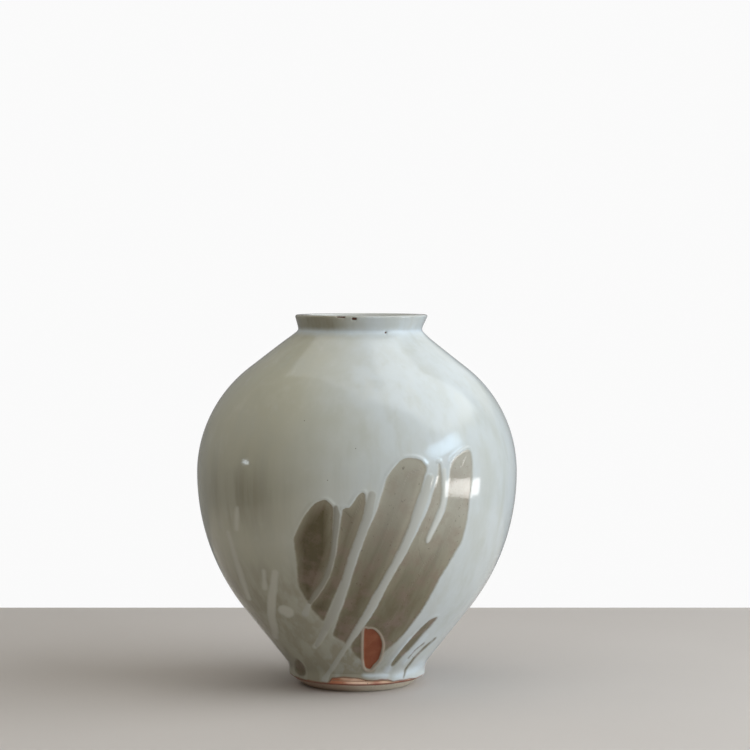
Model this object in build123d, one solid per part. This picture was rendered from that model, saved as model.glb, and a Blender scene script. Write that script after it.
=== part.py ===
from build123d import *
import os
from math import cos, hypot, radians, sin

# A tall moon jar of stoneware, thrown in two bowls that are luted at the belly,
# with a luted collar and foot ring, a pale slip coat wiped with the fingers, and clear glaze.
# Millimetres and degrees. +Z is up, the table is z = 0 and the front is towards -Y.

# Finished form, glaze included
jar_height = 240.0
belly_diameter = 207.4
belly_height = 138.0
shoulder_slope = 37.9
flank_slope = 51.7
neck_diameter = 79.0
neck_fillet = 3.0
collar_height = 10.2
lip_diameter = 86.6
lip_round = 1.9
foot_diameter = 88.8
foot_wall_top = 13.4
foot_fillet = 9.0

# Clay
bowl_wall = 6.0
collar_wall = 5.6
throat_round = 3.0
floor_thickness = 9.0
floor_round = 22.0
foot_height = 8.0
foot_bore_diameter = 54.0
foot_bore_chamfer = 1.5
foot_bevel_height = 5.8
foot_contact_diameter = 69.0

# Coats over the clay
slip_thickness = 0.6
glaze_thickness = 0.8
wipe_recess = 0.4
glaze_line = 6.2
slip_line = 7.0

# Luted joints: a skin of slip between two faces that are scored with ring-shaped teeth
luting_thickness = 0.6
belly_tooth_depth = 2.4
belly_tooth_width = 4.0
belly_teeth = 1
score_depth = 0.8
score_width = 1.6
score_count = 2
neck_joint_drop = 1.6

# Finger wipes through the slip, seen from the front: x, z and half width at the head, middle and tip
leaf_wipe = [(-21.5, 124.0, 7.5), (-26.0, 104.0, 11.0), (-28.5, 72.0, 4.5)]
thin_wipe = [(1.5, 129.0, 4.5), (-8.0, 98.0, 4.4), (-23.0, 58.0, 3.6)]
broad_wipe = [(30.5, 143.0, 11.0), (13.5, 98.0, 10.5), (-9.0, 43.0, 4.6)]
prong_wipe = [(50.5, 146.0, 1.8), (45.5, 118.0, 4.6), (31.0, 88.0, 4.5)]
long_wipe = [(65.0, 149.0, 7.4), (47.0, 90.0, 13.0), (15.0, 42.0, 12.0)]
foot_wipe = [(48.5, 47.0, 1.6), (40.0, 37.0, 2.9), (30.0, 25.5, 1.7)]
finger_wipes = [leaf_wipe, thin_wipe, broad_wipe, prong_wipe, long_wipe, foot_wipe]

# Bare clay: a half-leaf mark where neither slip nor glaze took, and a low arch above the foot
mark_side = 5.4
mark_head = 43.6
mark_brow = (12.6, 42.0)
mark_widest = (16.2, 35.0)
mark_heel = (13.6, 25.5)
mark_tip = (7.0, 16.6)
mark_foot = 18.8
arch_left = -19.0
arch_middle = 2.0
arch_right = 23.0
arch_top = 9.8

neck_height = jar_height - collar_height
belly_radius = belly_diameter / 2
neck_radius = neck_diameter / 2
lip_radius = lip_diameter / 2
foot_radius = foot_diameter / 2
foot_bore_radius = foot_bore_diameter / 2
coat_thickness = slip_thickness + glaze_thickness
wall_depth = coat_thickness + bowl_wall
lip_middle = lip_radius - (coat_thickness + collar_wall) / 2
floor_seat = foot_height + luting_thickness
neck_joint = neck_height - coat_thickness - neck_joint_drop
far = belly_diameter


def meet(start, along, other, across):
    """Point where two straight lines cross, each given by a point and a direction."""
    gap = (other[0] - start[0], other[1] - start[1])
    turn = along[0] * across[1] - along[1] * across[0]
    reach = (gap[0] * across[1] - gap[1] * across[0]) / turn
    return (start[0] + reach * along[0], start[1] + reach * along[1])


def sunk(point, normal, depth):
    """The point moved under the finished surface, against the outward normal."""
    return (point[0] - depth * normal[0], point[1] - depth * normal[1])


def shoulder_line(depth):
    """A point and the upward direction of the straight shoulder, at a depth under the surface."""
    slope = radians(shoulder_slope)
    return sunk((neck_radius, neck_height), (sin(slope), cos(slope)), depth), (-cos(slope), sin(slope))


def flank_line(depth):
    """A point and the upward direction of the straight flank above the foot."""
    slope = radians(flank_slope)
    return sunk((foot_radius, foot_wall_top), (sin(slope), -cos(slope)), depth), (cos(slope), sin(slope))


def collar_line(depth):
    """A point and the upward direction of the flared collar."""
    rise = (lip_radius - neck_radius, jar_height - neck_height)
    length = hypot(*rise)
    along = (rise[0] / length, rise[1] / length)
    return sunk((neck_radius, neck_height), (along[1], -along[0]), depth), along


def belly_arcs(depth):
    """Two arcs that meet upright at the belly, with the points where the flank and shoulder run into them."""
    belly = (belly_radius - depth, belly_height)
    flank, flank_up = flank_line(depth)
    shoulder, shoulder_up = shoulder_line(depth)
    low_corner = meet(flank, flank_up, belly, (0, 1))
    high_corner = meet(shoulder, shoulder_up, belly, (0, 1))
    below = belly_height - low_corner[1]
    above = high_corner[1] - belly_height
    low = (low_corner[0] - below * flank_up[0], low_corner[1] - below * flank_up[1])
    high = (high_corner[0] + above * shoulder_up[0], high_corner[1] + above * shoulder_up[1])
    arcs = [TangentArc(low, belly, tangent=flank_up), TangentArc(belly, high, tangent=(0, 1))]
    return low, arcs, high


def outside(depth):
    """Half section of the whole form at a depth under the finished surface, closed along the axis."""
    low, arcs, high = belly_arcs(depth)
    upright = (foot_radius - depth, 0)
    flank, flank_up = flank_line(depth)
    shoulder, shoulder_up = shoulder_line(depth)
    collar, collar_up = collar_line(depth)
    foot_corner = meet(upright, (0, 1), flank, flank_up)
    neck_corner = meet(shoulder, shoulder_up, collar, collar_up)
    top = jar_height - depth
    lip_corner = meet(collar, collar_up, (0, top), (1, 0))
    foot_side = FilletPolyline((0, 0), upright, foot_corner, low, radius=[0, foot_fillet + depth])
    lip_side = FilletPolyline(
        high, neck_corner, lip_corner, (0, top), radius=[neck_fillet + depth, max(lip_round - depth, 0)]
    )
    return make_face(foot_side.edges() + arcs + lip_side.edges() + [Line((0, top), (0, 0))])


def inside(skin, top):
    """Half section of the hollow, drawn in by a skin on the clay, and open above the middle of the lip."""
    low, arcs, high = belly_arcs(wall_depth + skin)
    flank, flank_up = flank_line(wall_depth + skin)
    shoulder, shoulder_up = shoulder_line(wall_depth + skin)
    collar, collar_up = collar_line(coat_thickness + collar_wall + skin)
    floor_top = floor_seat + floor_thickness + skin
    floor_corner = meet((0, floor_top), (1, 0), flank, flank_up)
    throat = meet(shoulder, shoulder_up, collar, collar_up)
    lip_corner = meet(collar, collar_up, (0, top), (1, 0))
    floor_side = FilletPolyline((0, floor_top), floor_corner, low, radius=[floor_round - skin])
    lip_side = FilletPolyline(
        high,
        throat,
        lip_corner,
        (lip_middle, top),
        (lip_middle, far + top),
        (0, far + top),
        radius=[throat_round + skin, lip_round, 0, 0],
    )
    return make_face(floor_side.edges() + arcs + lip_side.edges() + [Line((0, far + top), (0, floor_top))])


def under(height, middle, width, depth, teeth):
    """Everything below a level joint line with V-shaped teeth about the middle of the wall."""
    start = middle - teeth * width / 2
    points = [(0, -far), (0, height)]
    for tooth in range(teeth):
        points.append((start + tooth * width, height))
        points.append((start + (tooth + 0.5) * width, height - depth))
    points += [(start + teeth * width, height), (far, height), (far, -far)]
    return make_face(Polyline(*points, close=True))


def under_belly(height):
    """Everything below the deep tooth between the two bowls."""
    middle = belly_radius - coat_thickness - bowl_wall / 2
    return under(height, middle, belly_tooth_width, belly_tooth_depth, belly_teeth)


def under_neck(height):
    """Everything below the scored seat of the collar."""
    middle = neck_radius - coat_thickness - collar_wall / 2
    return under(height, middle, score_width, score_depth, score_count)


def under_foot(height):
    """Everything below the scored seat of the foot ring."""
    middle = (foot_radius - coat_thickness + foot_bore_radius) / 2
    return under(height, middle, score_width, score_depth, score_count)


def luting(seat, height):
    """Skin of joining slip that lies on a scored seat."""
    return clay & (seat(height + luting_thickness) - seat(height))


def foot_trim():
    """What the turning tool takes off the foot: the outside bevel and the chamfered bore."""
    clay_radius = foot_radius - coat_thickness
    contact = foot_contact_diameter / 2
    edge = (clay_radius, foot_bevel_height)
    bevel = make_face(Polyline((contact, 0), (far, 0), (far, foot_bevel_height), edge, close=True))
    bore = make_face(
        Polyline(
            (0, 0),
            (foot_bore_radius + foot_bore_chamfer, 0),
            (foot_bore_radius, foot_bore_chamfer),
            (foot_bore_radius, floor_seat),
            (0, floor_seat),
            close=True,
        )
    )
    return bevel, bore


def coat(outer_depth, inner_depth, line):
    """Half section of a coat on the outside, from a level line above the foot to the middle of the lip."""
    above_line = make_face(Polyline((0, line), (far, line), (far, jar_height), (0, jar_height), close=True))
    return (outside(outer_depth) - outside(inner_depth) - hollow) & above_line


def turned(section):
    """A section spun once about the upright axis."""
    return revolve(Plane.XZ * section, axis=Axis.Z)


def through_front(outline):
    """An outline seen from the front, driven through the front wall."""
    return extrude(Plane.XZ * outline, amount=far)


def finger_wipe(stroke):
    """Outline that a fingertip leaves: two long arcs for the sides and an arc round each end."""
    head, middle, tip = stroke
    run = (tip[0] - head[0], tip[1] - head[1])
    length = hypot(*run)
    along = (run[0] / length, run[1] / length)
    across = (along[1], -along[0])
    right = [(x + half * across[0], z + half * across[1]) for x, z, half in stroke]
    left = [(x - half * across[0], z - half * across[1]) for x, z, half in stroke]
    head_end = (head[0] - head[2] * along[0], head[1] - head[2] * along[1])
    tip_end = (tip[0] + tip[2] * along[0], tip[1] + tip[2] * along[1])
    arcs = [
        ThreePointArc(*right),
        ThreePointArc(right[-1], tip_end, left[-1]),
        ThreePointArc(*reversed(left)),
        ThreePointArc(left[0], head_end, right[0]),
    ]
    return make_face(arcs)


def bare_mark():
    """Half leaf with one straight side, left bare down to the clay."""
    head = (mark_side, mark_head)
    foot = (mark_side, mark_foot)
    brow = ThreePointArc(head, mark_brow, mark_widest)
    belly = ThreePointArc(mark_widest, mark_heel, mark_tip)
    return make_face([Line(foot, head), brow, belly, Line(mark_tip, foot)])


def bare_arch():
    """Low arch in front where the coats stop short of the foot."""
    low = glaze_line - coat_thickness
    crown = ThreePointArc((arch_left, low), (arch_middle, arch_top), (arch_right, low))
    return make_face([crown, Line((arch_right, low), (arch_left, low))])


hollow = inside(0, jar_height - coat_thickness)
bevel, bore = foot_trim()
clay = outside(coat_thickness) - hollow - bevel - bore

pieces = {
    "foot_ring": turned(clay & under_foot(foot_height)),
    "foot_luting_slip": turned(luting(under_foot, foot_height)),
    "lower_bowl": turned((clay & under_belly(belly_height)) - under_foot(floor_seat)),
    "belly_luting_slip": turned(luting(under_belly, belly_height)),
    "upper_bowl": turned((clay & under_neck(neck_joint)) - under_belly(belly_height + luting_thickness)),
    "neck_luting_slip": turned(luting(under_neck, neck_joint)),
    "neck_collar": turned(clay - under_neck(neck_joint + luting_thickness)),
    "inner_glaze": turned(hollow - inside(glaze_thickness, jar_height)),
}

wiped_outline = Sketch() + [finger_wipe(stroke) for stroke in finger_wipes]
wiped = through_front(wiped_outline)
bare = [through_front(bare_mark()), through_front(bare_arch())]
slip_coat = turned(coat(glaze_thickness, coat_thickness, slip_line)) - wiped - bare
wiped_skin = turned(coat(0, wipe_recess, glaze_line)) & wiped
pieces["slip_coat"] = slip_coat
pieces["outer_glaze"] = turned(coat(0, coat_thickness, glaze_line)) - slip_coat - wiped_skin - bare

os.makedirs("parts", exist_ok=True)
for name, piece in pieces.items():
    export_step(piece, f"parts/{name}.step")
    print(name, len(piece.solids()), "solid", round(piece.volume / 1000, 2), "cm3")
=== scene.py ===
# %% [markdown]
# A tall moon jar of dark stoneware stands on its turned foot. Its pale slip was wiped away with the
# fingers while it was wet, so that the brown clay shows through a clear, glossy glaze.
# The packed model gives the sizes. This lesson adds what a potter's hand and the kiln add: the relief
# of the wiped slip, the rolls and runs of glaze, the turning marks and the finishes.

# %% Load the frame
from math import acos, atan2, cos, hypot, pi, radians, sin, tan
from types import SimpleNamespace

import bpy
import numpy as np
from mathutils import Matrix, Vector


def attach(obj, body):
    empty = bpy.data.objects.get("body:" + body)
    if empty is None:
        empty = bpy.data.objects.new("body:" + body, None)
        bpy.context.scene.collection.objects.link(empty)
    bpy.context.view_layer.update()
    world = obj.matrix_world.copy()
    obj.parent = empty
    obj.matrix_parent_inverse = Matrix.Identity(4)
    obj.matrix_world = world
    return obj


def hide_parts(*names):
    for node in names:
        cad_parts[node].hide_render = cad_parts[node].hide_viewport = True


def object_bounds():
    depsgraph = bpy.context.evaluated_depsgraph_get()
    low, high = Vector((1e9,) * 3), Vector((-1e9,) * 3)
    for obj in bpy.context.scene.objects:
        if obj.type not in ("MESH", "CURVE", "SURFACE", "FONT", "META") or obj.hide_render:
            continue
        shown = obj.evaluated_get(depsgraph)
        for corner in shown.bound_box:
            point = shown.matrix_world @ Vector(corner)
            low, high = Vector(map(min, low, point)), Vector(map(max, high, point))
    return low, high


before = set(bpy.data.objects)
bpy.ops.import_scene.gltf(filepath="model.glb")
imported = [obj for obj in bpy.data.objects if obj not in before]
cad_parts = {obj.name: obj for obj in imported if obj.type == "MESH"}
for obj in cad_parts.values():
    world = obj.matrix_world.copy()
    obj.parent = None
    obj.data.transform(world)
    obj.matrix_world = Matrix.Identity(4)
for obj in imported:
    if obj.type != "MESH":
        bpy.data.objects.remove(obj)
cad_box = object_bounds()
low_corner, high_corner = (Vector(corner) for corner in cad_box)
jar_height = high_corner.z
belly_radius = (high_corner.x - low_corner.x) / 2
MM = 0.001
print("jar", round(jar_height, 4), "m tall, belly radius", round(belly_radius, 4), "m")

# %% [markdown]
# The jar is seen from table height with a long lens, from a little above the lip. A short lens close by
# would widen the belly and hide the shoulder. A long lens far back keeps the outline close to its true
# profile, so the camera looks down by less than three degrees. It stands slightly to the right, which
# puts the jar left of the middle.

# %% Camera
TILT_DOWN = radians(2.753)
camera_data = bpy.data.cameras.new("camera")
camera_data.lens = 112.8
camera_data.sensor_width = 36
camera = bpy.data.objects.new("camera", camera_data)
camera.location = (0.0117, -1.523, 0.274)
camera.rotation_euler = (radians(90) - TILT_DOWN, 0, 0)
bpy.context.scene.collection.objects.link(camera)
bpy.context.scene.camera = camera
bpy.context.scene.view_settings.view_transform = "Standard"
print("camera", tuple(round(v, 3) for v in camera.location))

# %% [markdown]
# A finish is easier to read as a sum than as a list of nodes, and a glaze needs well over a hundred of
# them. So a node's output is wrapped in a small class, and each operator that Python finds on it adds a
# Math node. The reflected forms let a plain number stand first, as in 1 - mask.


# %% Sums of sockets
class Socket:
    """A node's output that Python's operators can work on."""

    def __init__(self, finish, output):
        self.finish = finish
        self.output = output

    def math(self, operation, first, second):
        return self.finish.add("ShaderNodeMath", {"operation": operation}, {0: first, 1: second})

    def __add__(self, other):
        return self.math("ADD", self, other)

    __radd__ = __add__

    def __sub__(self, other):
        return self.math("SUBTRACT", self, other)

    def __rsub__(self, other):
        return self.math("SUBTRACT", other, self)

    def __mul__(self, other):
        return self.math("MULTIPLY", self, other)

    __rmul__ = __mul__

    def __neg__(self):
        return 0.0 - self

    def most(self, other):
        return self.math("MAXIMUM", self, other)


print("operators ready:", ", ".join(name for name in vars(Socket) if name.startswith("__r")))

# %% [markdown]
# Each surface of the jar gets a finish of its own: a Principled shader with patterns in front of it. One
# method adds any node with its settings and its inputs. The short methods after it name the few nodes
# that a potter's finishes are made of: noise, a painted field, a soft step, a mix and a bump.


# %% Finishes
class Finish:
    """A procedural material that is built up from a Principled shader."""

    def __init__(self, name):
        self.material = bpy.data.materials.new(name)
        self.material.use_nodes = True
        self.tree = self.material.node_tree
        self.shader = self.tree.nodes["Principled BSDF"]

    def add(self, kind, settings=None, sockets=None, output=0):
        """Adds a node, sets it, feeds its sockets and hands back one of its outputs."""
        node = self.tree.nodes.new(kind)
        for key, value in (settings or {}).items():
            setattr(node, key, value)
        for key, value in (sockets or {}).items():
            self.feed(node.inputs[key], value)
        return Socket(self, node.outputs[output])

    def feed(self, target, value):
        if isinstance(value, Socket):
            self.tree.links.new(value.output, target)
        else:
            target.default_value = value

    def place(self):
        """Where a point lies on the piece, in the piece's own coordinates."""
        return self.add("ShaderNodeTexCoord", output="Object")

    def axis(self, number):
        """One coordinate of the place: 0 is across, 1 is back and 2 is up."""
        return self.add("ShaderNodeSeparateXYZ", {}, {0: self.place()}, output=number)

    def mapped(self, vector, **sockets):
        return self.add("ShaderNodeMapping", {}, {"Vector": vector, **sockets})

    def noise(self, vector, scale, detail=3.0, roughness=0.5):
        sockets = {"Vector": vector, "Scale": scale, "Detail": detail, "Roughness": roughness}
        return self.add("ShaderNodeTexNoise", {}, sockets)

    def attribute(self, name):
        """A field that was stored on the points of the piece."""
        return self.add("ShaderNodeAttribute", {"attribute_name": name}, output="Fac")

    def step(self, value, low, high):
        """0 below low, 1 above high, and a smooth rise between."""
        settings = {"interpolation_type": "SMOOTHSTEP"}
        return self.add("ShaderNodeMapRange", settings, {0: value, 1: low, 2: high, 3: 0.0, 4: 1.0})

    def mix(self, factor, first, second):
        return self.add("ShaderNodeMix", {"data_type": "RGBA"}, {0: factor, 6: first, 7: second}, output=2)

    def bump(self, height, strength, distance, under=None):
        sockets = {"Height": height, "Strength": strength, "Distance": distance}
        if under is not None:
            sockets["Normal"] = under
        return self.add("ShaderNodeBump", {}, sockets)

    def surface(self, **sockets):
        """Feeds the Principled shader, with _ for the spaces in the names of its sockets."""
        for key, value in sockets.items():
            self.feed(self.shader.inputs[key.replace("_", " ")], value)
        return self.material


print("finishes start from a Principled shader")

# %% [markdown]
# The jar's side is two straight stretches and two arcs. The flank rises straight from the foot, the
# shoulder runs straight to the neck, and between them an arc below and an arc above the widest line
# meet upright. A traced curve would need hundreds of points. Measured this way the outline needs only a
# handful of sizes, and any coat under the surface is the same outline at a depth.

# %% Sizes of the profile
belly_height = 138.0 * MM
shoulder_slope = radians(37.9)
flank_slope = radians(51.7)
neck_radius = 39.5 * MM
neck_fillet = 2.2 * MM
collar_height = 10.2 * MM
collar_wall = 5.6 * MM
lip_radius = 43.3 * MM
lip_round = 1.1 * MM
foot_radius = 44.4 * MM
foot_wall_top = 13.4 * MM
foot_fillet = 9.0 * MM
bowl_wall = 6.0 * MM
coat_thickness = 1.4 * MM
glaze_thickness = 0.8 * MM
glaze_line = 6.2 * MM
neck_height = jar_height - collar_height
lip_middle = lip_radius - (coat_thickness + collar_wall) / 2
print("widest at", belly_height, "m, neck at", round(neck_height, 4), "m")

# %% [markdown]
# A few small helpers draw any profile of the jar: the way between two points, a point further along,
# where two lines cross, points on a straight stretch or an arc, and a rounded corner. They work on pairs
# of radius and height, so the same lines serve the coat, the liner and the foot.


# %% Lines and arcs
def way(start, end):
    """The move from one point to another."""
    return (end[0] - start[0], end[1] - start[1])


def unit(move):
    """The move made one long."""
    return (move[0] / hypot(*move), move[1] / hypot(*move))


def ahead(point, along, reach):
    """The point moved along a direction."""
    return (point[0] + reach * along[0], point[1] + reach * along[1])


def meet(start, along, other, across):
    """Point where two straight lines cross."""
    gap = way(start, other)
    turn = along[0] * across[1] - along[1] * across[0]
    return ahead(start, along, (gap[0] * across[1] - gap[1] * across[0]) / turn)


def straight(start, end, step):
    """Evenly spaced points from start to end, without the end itself."""
    move = way(start, end)
    count = max(1, round(hypot(*move) / step))
    return [ahead(start, move, i / count) for i in range(count)]


def arc(start, along, end, step):
    """Points on the arc that leaves start along a direction and reaches end, without the end itself."""
    chord = way(start, end)
    normal = (-along[1], along[0])
    radius = (chord[0] ** 2 + chord[1] ** 2) / (2 * (chord[0] * normal[0] + chord[1] * normal[1]))
    centre = ahead(start, normal, radius)
    first = atan2(start[1] - centre[1], start[0] - centre[0])
    turn = atan2(end[1] - centre[1], end[0] - centre[0]) - first
    turn = (turn + pi) % (2 * pi) - pi
    count = max(2, round(abs(radius * turn) / step))
    angles = [first + turn * i / count for i in range(count)]
    return [(centre[0] + abs(radius) * cos(a), centre[1] + abs(radius) * sin(a)) for a in angles]


def rounded(before, corner, after, radius, step):
    """Points round a corner between two straight stretches, from one tangent point to the other."""
    into = unit(way(before, corner))
    away = unit(way(corner, after))
    bend = acos(into[0] * away[0] + into[1] * away[1])
    reach = radius * tan(bend / 2)
    end = ahead(corner, away, reach)
    return arc(ahead(corner, into, -reach), into, end, step) + [end]


quarter = rounded((0, 0), (1, 0), (1, 1), 0.5, 0.1)
print("a rounded right angle takes", len(quarter), "points")

# %% [markdown]
# One function draws the line of the outside at any depth under the finished surface, from the glaze
# line above the foot to the middle of the lip. The points lie close together where the slip has
# relief and further apart on the plain shoulder, which keeps the mesh light.

# %% Profile lines
STROKES_TOP = 164 * MM
shoulder_up = (-cos(shoulder_slope), sin(shoulder_slope))
flank_up = (cos(flank_slope), sin(flank_slope))
collar_up = unit((lip_radius - neck_radius, collar_height))


def side_lines(depth):
    """A point on the flank, the shoulder and the collar at a depth under the finished surface."""
    flank = (foot_radius - depth * sin(flank_slope), foot_wall_top + depth * cos(flank_slope))
    shoulder = (neck_radius - depth * sin(shoulder_slope), neck_height - depth * cos(shoulder_slope))
    collar = (neck_radius - depth * collar_up[1], neck_height + depth * collar_up[0])
    return flank, shoulder, collar


def belly_tangents(depth):
    """The end of the flank, the widest point and the start of the shoulder, where the two arcs join them."""
    flank, shoulder, _ = side_lines(depth)
    belly = (belly_radius - depth, belly_height)
    low = meet(flank, flank_up, belly, (0, 1))
    high = meet(shoulder, shoulder_up, belly, (0, 1))
    low_end = ahead(low, flank_up, -(belly_height - low[1]))
    high_end = ahead(high, shoulder_up, high[1] - belly_height)
    return low_end, belly, high_end


def outside_line(depth, fine, coarse):
    """Radius and height along the outside, from the glaze line up and over to the middle of the lip."""
    flank, shoulder, collar = side_lines(depth)
    low_end, belly, high_end = belly_tangents(depth)
    wall_foot = (foot_radius - depth, glaze_line)
    foot_corner = meet(wall_foot, (0, 1), flank, flank_up)
    neck_corner = meet(shoulder, shoulder_up, collar, collar_up)
    top = jar_height - depth
    lip_corner = meet(collar, collar_up, (0, top), (1, 0))
    lip_end = (lip_middle, top)
    foot_bend = rounded(wall_foot, foot_corner, low_end, foot_fillet + depth, fine)
    neck_bend = rounded(high_end, neck_corner, lip_corner, neck_fillet + depth, fine / 2)
    lip_bend = rounded(neck_corner, lip_corner, lip_end, lip_round - min(depth, lip_round / 2), fine / 3)
    line = straight(wall_foot, foot_bend[0], fine) + foot_bend[:-1]
    line += straight(foot_bend[-1], low_end, fine) + arc(low_end, flank_up, belly, fine)
    upper = arc(belly, (0, 1), high_end, fine) + straight(high_end, neck_bend[0], fine)
    skip = max(1, round(coarse / fine))
    worked = [point for point in upper if point[1] < STROKES_TOP]
    line += worked + upper[len(worked)::skip]
    line += neck_bend[:-1] + straight(neck_bend[-1], lip_bend[0], fine) + lip_bend[:-1]
    return line + straight(lip_bend[-1], lip_end, fine) + [lip_end]


coat_line = outside_line(depth=0, fine=0.88 * MM, coarse=2.6 * MM)
clay_line = outside_line(depth=coat_thickness, fine=9 * MM, coarse=9 * MM)
print(len(coat_line), "points on the glaze,", len(clay_line), "on the clay under it")

# %% [markdown]
# A potter's wheel is a spin about the upright axis. One vertex is drawn out along the profile, point by
# point, and the finished line is spun. The front, where the fingers worked, gets many more steps than
# the back. A closed profile comes back to its first point, and merging the doubles closes that seam and
# the seam between the first turn and the last.

# %% Wheel
FRONT_START = radians(-38)
FRONT_SWEEP = radians(110)


def fresh(name, add, **settings):
    """A new primitive, with nothing else selected."""
    bpy.ops.object.select_all(action="DESELECT")
    add(**settings)
    piece = bpy.context.object
    piece.name = name
    piece.data.name = name
    return piece


def edit(on):
    """Enters edit mode with the whole mesh selected, or leaves it."""
    bpy.ops.object.mode_set(mode="EDIT" if on else "OBJECT")
    if on:
        bpy.ops.mesh.select_all(action="SELECT")


def first_vertex(name, point):
    """A plane that is merged to its middle: the single vertex that a profile starts from."""
    piece = fresh(name, bpy.ops.mesh.primitive_plane_add, size=MM, location=(0, 0, 0))
    edit(True)
    bpy.ops.mesh.merge(type="CENTER")
    bpy.ops.transform.translate(value=point)
    return piece


def throw(name, line, front_steps, back_steps, closed):
    """Draws the line out from one vertex and spins it, the front first and then the back."""
    line = line + line[:1] if closed else line
    points = [(r * cos(FRONT_START), r * sin(FRONT_START), z) for r, z in line]
    piece = first_vertex(name, points[0])
    for before, after in zip(points, points[1:]):
        move = tuple(b - a for a, b in zip(before, after))
        bpy.ops.mesh.extrude_region_move(TRANSFORM_OT_translate={"value": move})
    bpy.ops.mesh.select_all(action="SELECT")
    spin = {"center": (0, 0, 0), "axis": (0, 0, 1)}
    bpy.ops.mesh.spin(steps=front_steps, angle=FRONT_SWEEP, **spin)
    bpy.ops.mesh.spin(steps=back_steps, angle=2 * pi - FRONT_SWEEP, **spin)
    bpy.ops.mesh.select_all(action="SELECT")
    bpy.ops.mesh.remove_doubles(threshold=0.02 * MM)
    bpy.ops.mesh.normals_make_consistent(inside=False)
    edit(False)
    bpy.ops.object.shade_smooth()
    print(name, len(piece.data.vertices), "points,", len(piece.data.polygons), "faces")
    return piece


print("the front takes", round(FRONT_SWEEP / (2 * pi), 2), "of a turn")

# %% [markdown]
# The coat is slip and glaze together, a skin a millimetre and a half thick. It could be a sheet that a
# modifier thickens, but its two sides differ: the outside is worked and the inside lies on plain clay.
# So it is thrown as a closed ring, up the outside, over the lip and back down against the clay. At the
# foot the glaze ends in a soft roll, so its lowest edge is rounded.

# %% Throw the coat
edge_roll = 0.9 * MM
edge_low = (foot_radius - coat_thickness, glaze_line)
edge_corner = (foot_radius, glaze_line)
edge_turn = rounded(edge_low, edge_corner, (foot_radius, 2 * glaze_line), edge_roll, 0.3 * MM)
above_roll = [point for point in coat_line if point[1] > glaze_line + edge_roll]
coat_ring = [edge_low] + edge_turn + above_roll + clay_line[::-1][:-1]
coat = throw("glazed_coat", coat_ring, front_steps=250, back_steps=78, closed=True)

# %% [markdown]
# Next come the marks of the hand. A wipe is a place where a finger took the wet slip away, and each one
# is a closed outline in the front view, in millimetres: x to the right, z up. With it go a tone, 1 where
# the most iron shows, and a rim, 1 where the slip rolled up most at the finger's end. One mark near the
# foot stayed bare of glaze. Two scratches are too thin for an outline, so each is a path with half widths.

# %% Wipes and scratches
leaf = [(-27.2, 125.2), (-22.9, 128.7), (-18.6, 129.7), (-15.6, 127.6), (-13.4, 124.3), (-13.7, 114.3),
        (-14.4, 104.9), (-15.5, 95.4), (-18.9, 84.3), (-21.7, 77), (-25.7, 70.8), (-29.9, 64.5),
        (-33.4, 70.4), (-36, 77), (-36.2, 88.2), (-37.9, 101), (-37.6, 106.5), (-32.8, 116.9)]
thin = [(4.4, 134.4), (5.9, 132.3), (6.2, 126.8), (3.8, 117.5), (0.1, 107), (-3.5, 96.8), (-7, 84.6),
        (-9.6, 76.7), (-14.8, 65.2), (-19, 54), (-20.6, 51.4), (-23.1, 53.8), (-27.9, 60.5),
        (-23.8, 67.6), (-17.1, 78.8), (-13.3, 91), (-10.8, 106.9), (-8.6, 121.8), (-6.5, 124.6),
        (-3.5, 125.3), (1.4, 132.3)]
broad = [(19.6, 144.3), (25.1, 151.4), (28.1, 153.9), (31.8, 154.9), (37.9, 154.1), (41.6, 150.9),
         (43.1, 147.3), (40.7, 138.2), (37, 127.3), (31.8, 111.4), (26.1, 98.3), (19.7, 85.6),
         (12.6, 72.7), (6.1, 59.9), (-0.7, 46.6), (-6.1, 36.5), (-7.7, 36.1), (-14.2, 40.6),
         (-13.5, 45.6), (-9.6, 58.4), (-5.2, 71.4), (-1.4, 85.9), (3.2, 99.4), (7.4, 111.3),
         (12.3, 122.4), (16.6, 135.8)]
long = [(50.6, 150.6), (50.2, 143.9), (47.1, 133.6), (43.5, 122.1), (37.4, 109.2), (31, 96.2), (24, 84.2),
        (17.2, 70.5), (11.1, 57.7), (3, 44.4), (-3.7, 32.5), (2.9, 23.4), (9.8, 21.8), (18, 29.4),
        (22.4, 32.8), (29.9, 41), (39.8, 55.3), (47.1, 68.6), (53.8, 81.5), (60.6, 92.8), (65.6, 102),
        (68.6, 114.6), (70.4, 127), (71.7, 140.6), (72, 150.4), (70.5, 156.6), (67.9, 158), (60.3, 153.1),
        (57.7, 147.1), (56.5, 134.3), (55.3, 123.9), (52.2, 116.6), (48.2, 108.6), (44.2, 101.9),
        (42.8, 103.9), (44.8, 108.8), (48.7, 118), (51.7, 126), (52.7, 134.6), (52.4, 145), (51.7, 149.9)]
flick = [(50.7, 50.9), (50.1, 48.7), (47, 44.7), (42.6, 40.1), (37, 33.4), (32, 27.3), (26.9, 21.9),
         (23.1, 17.8), (21.8, 19.5), (25.6, 25.9), (30.6, 32.8), (36.2, 39.5), (42.5, 46.2), (46.9, 50)]
heel = [(-38.8, 20.6), (-35.5, 18.9), (-33.1, 14.7), (-33, 9.6), (-38.2, 8.5), (-39.8, 13.3)]
wipes = {"leaf": (leaf, 1.0, 1.0), "thin": (thin, 0.8, 1.0), "broad": (broad, 0.5, 1.0),
         "long": (long, 0.3, 0.9), "flick": (flick, 0.6, 0.5), "heel": (heel, 0.8, 0.1)}
bare_mark = [(5, 43.7), (7.3, 45.2), (10.5, 45.1), (13, 42.8), (14.8, 39.8), (16.1, 34.7), (15.5, 28.9),
             (13.9, 23.1), (11.1, 19.5), (8.2, 16.3), (4.9, 20.5)]
scratch = [(50.3, 34.5, 0.5), (43.6, 29, 0.7), (36.6, 21.9, 0.7), (30.9, 13.6, 0.6), (29.7, 8.2, 0.4)]
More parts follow.
